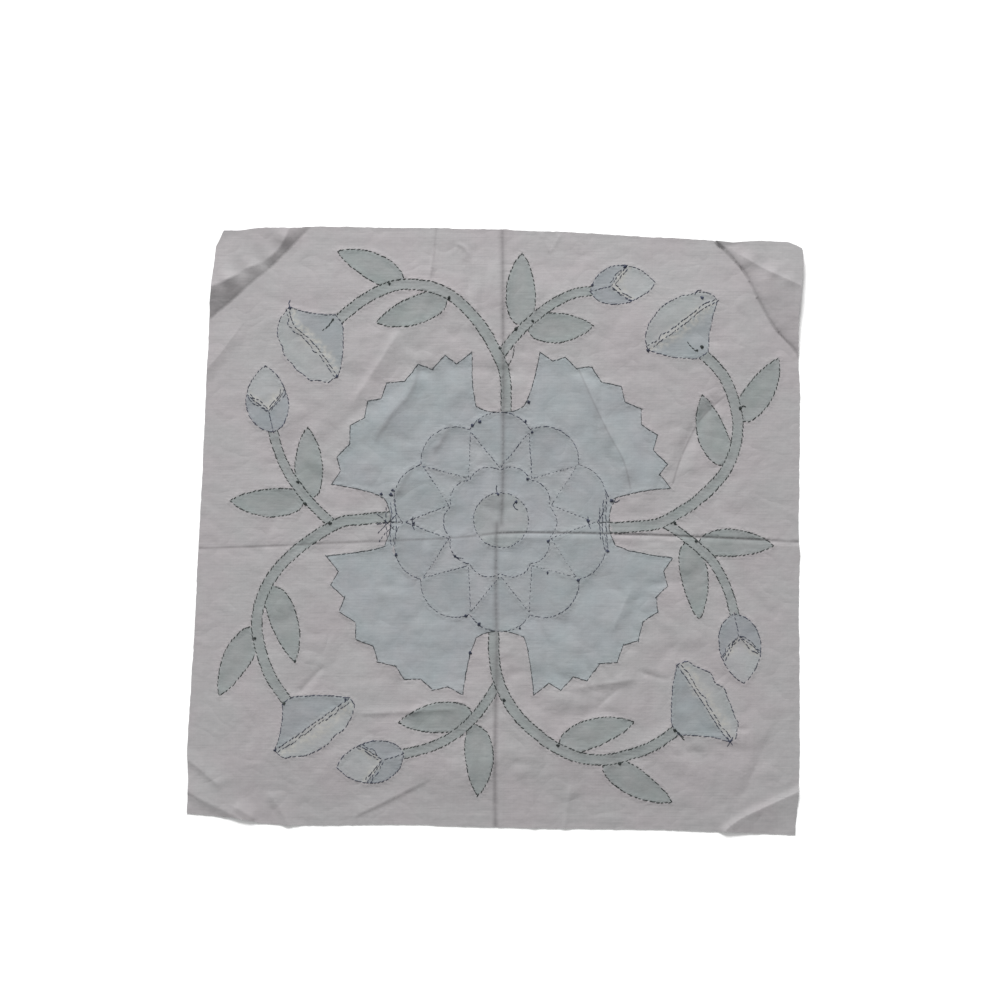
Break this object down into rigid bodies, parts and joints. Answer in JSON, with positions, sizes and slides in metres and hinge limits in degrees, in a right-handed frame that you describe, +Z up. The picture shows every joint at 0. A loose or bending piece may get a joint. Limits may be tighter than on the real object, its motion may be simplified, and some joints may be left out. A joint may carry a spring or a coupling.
{
  "type": "applique quilt block",
  "caption": "Square of thin muslin with an applique rose, vines, leaves, tulips, buds and toothed combs, lying wrong side up with soft storage creases.",
  "frame": {"origin": "middle of the underside, on the surface that the block lies on", "axes": "+Z up out of the cloth, wrong side of the muslin facing +Z; +Y towards the edge at the top of the picture, +X to its right"},
  "size_m": [0.4779, 0.4715, 0.0077],
  "materials": {
    "muslin": "plain-woven greyish white cotton muslin, washed and creased",
    "green_cotton": "plain-woven dull green cotton",
    "blue_cotton": "plain-woven greyish blue cotton",
    "lilac_cotton": "plain-woven lilac blue cotton",
    "cream_cotton": "plain-woven cream cotton"
  },
  "bodies": {
    "root": {"base_cloth": "muslin", "rose_centre": "lilac_cotton", "rose_inner": "blue_cotton", "rose_star": "lilac_cotton", "rose_outer": "blue_cotton", "comb_1": "blue_cotton", "tulip_cup_1": "blue_cotton", "tulip_petal_1": "cream_cotton", "calyx_1_left": "blue_cotton", "calyx_1_right": "blue_cotton", "bud_tip_1": "cream_cotton", "stem_1": "green_cotton", "side_stem_1": "green_cotton", "leaf_1_a": "green_cotton", "leaf_1_b": "green_cotton", "leaf_1_c": "green_cotton", "leaf_1_d": "green_cotton", "comb_2": "blue_cotton", "tulip_cup_2": "blue_cotton", "tulip_petal_2": "cream_cotton", "calyx_2_left": "blue_cotton", "calyx_2_right": "blue_cotton", "bud_tip_2": "cream_cotton", "stem_2": "green_cotton", "side_stem_2": "green_cotton", "leaf_2_a": "green_cotton", "leaf_2_b": "green_cotton", "leaf_2_c": "green_cotton", "leaf_2_d": "green_cotton", "comb_3": "blue_cotton", "tulip_cup_3": "blue_cotton", "tulip_petal_3": "cream_cotton", "calyx_3_left": "blue_cotton", "calyx_3_right": "blue_cotton", "bud_tip_3": "cream_cotton", "stem_3": "green_cotton", "side_stem_3": "green_cotton", "leaf_3_a": "green_cotton", "leaf_3_b": "green_cotton", "leaf_3_c": "green_cotton", "leaf_3_d": "green_cotton", "comb_4": "blue_cotton", "tulip_cup_4": "blue_cotton", "tulip_petal_4": "cream_cotton", "calyx_4_left": "blue_cotton", "calyx_4_right": "blue_cotton", "bud_tip_4": "cream_cotton", "stem_4": "green_cotton", "side_stem_4": "green_cotton", "leaf_4_a": "green_cotton", "leaf_4_b": "green_cotton", "leaf_4_c": "green_cotton", "leaf_4_d": "green_cotton"}
  },
  "joints": []
}
